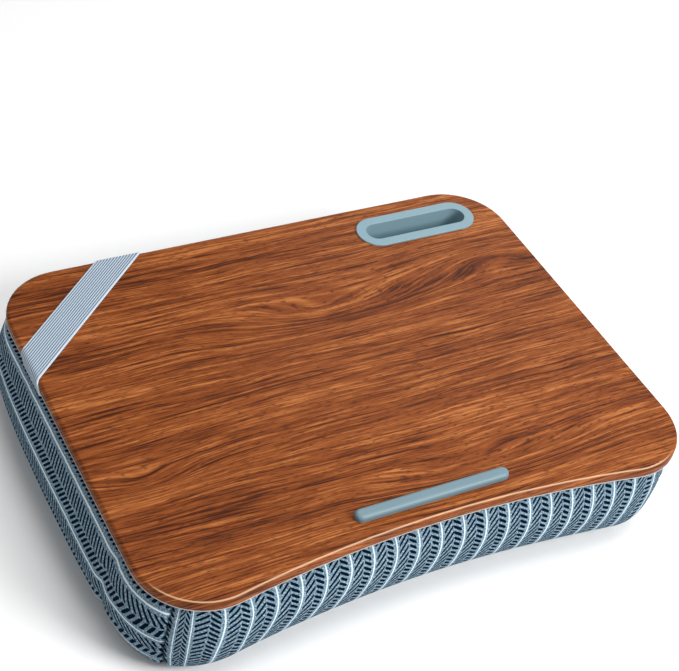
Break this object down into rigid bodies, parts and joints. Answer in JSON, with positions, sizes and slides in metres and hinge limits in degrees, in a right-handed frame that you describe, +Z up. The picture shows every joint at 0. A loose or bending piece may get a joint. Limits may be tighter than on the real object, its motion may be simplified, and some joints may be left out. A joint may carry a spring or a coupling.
{
  "type": "lap desk",
  "caption": "Cushioned lap desk: a wood-grain board on a soft bead cushion, with an elastic corner strap, a device ledge and a moulded phone slot.",
  "frame": {"origin": "on the surface that the desk stands on, under the middle of its bounding box", "axes": "+Z up; +X to the right of the person who uses it, along the board's longer side; +Y from the scooped front edge to the rear edge with the phone slot"},
  "size_m": [0.475, 0.3585, 0.0855],
  "materials": {
    "woodgrain": "satin",
    "fibreboard": "matte",
    "backing": "satin",
    "moulded_plastic": "satin",
    "steel": "satin",
    "elastic_webbing": "matte",
    "felt": "matte",
    "printed_cloth": "matte",
    "lining_cloth": "matte",
    "beads": "matte"
  },
  "bodies": {
    "desk": {"woodgrain_film": "woodgrain", "board_core": "fibreboard", "backing_sheet": "backing", "device_ledge": "moulded_plastic", "ledge_screws": "steel", "slot_liner": "moulded_plastic", "strap_staples": "steel", "cover_top_panel": "felt", "cover_wrap_panel": "printed_cloth", "cover_side_left": "printed_cloth", "cover_side_right": "printed_cloth", "lining_bag": "lining_cloth", "bead_fill": "beads"},
    "strap": {"elastic_strap": "elastic_webbing"}
  },
  "joints": [
    {"name": "strap_lift", "type": "slide", "parent": "desk", "child": "strap", "axis": [0, 0, 1], "range_m": [0, 0.012], "stiffness_N_per_m": 150, "deforming": ["elastic_strap"]}
  ]
}
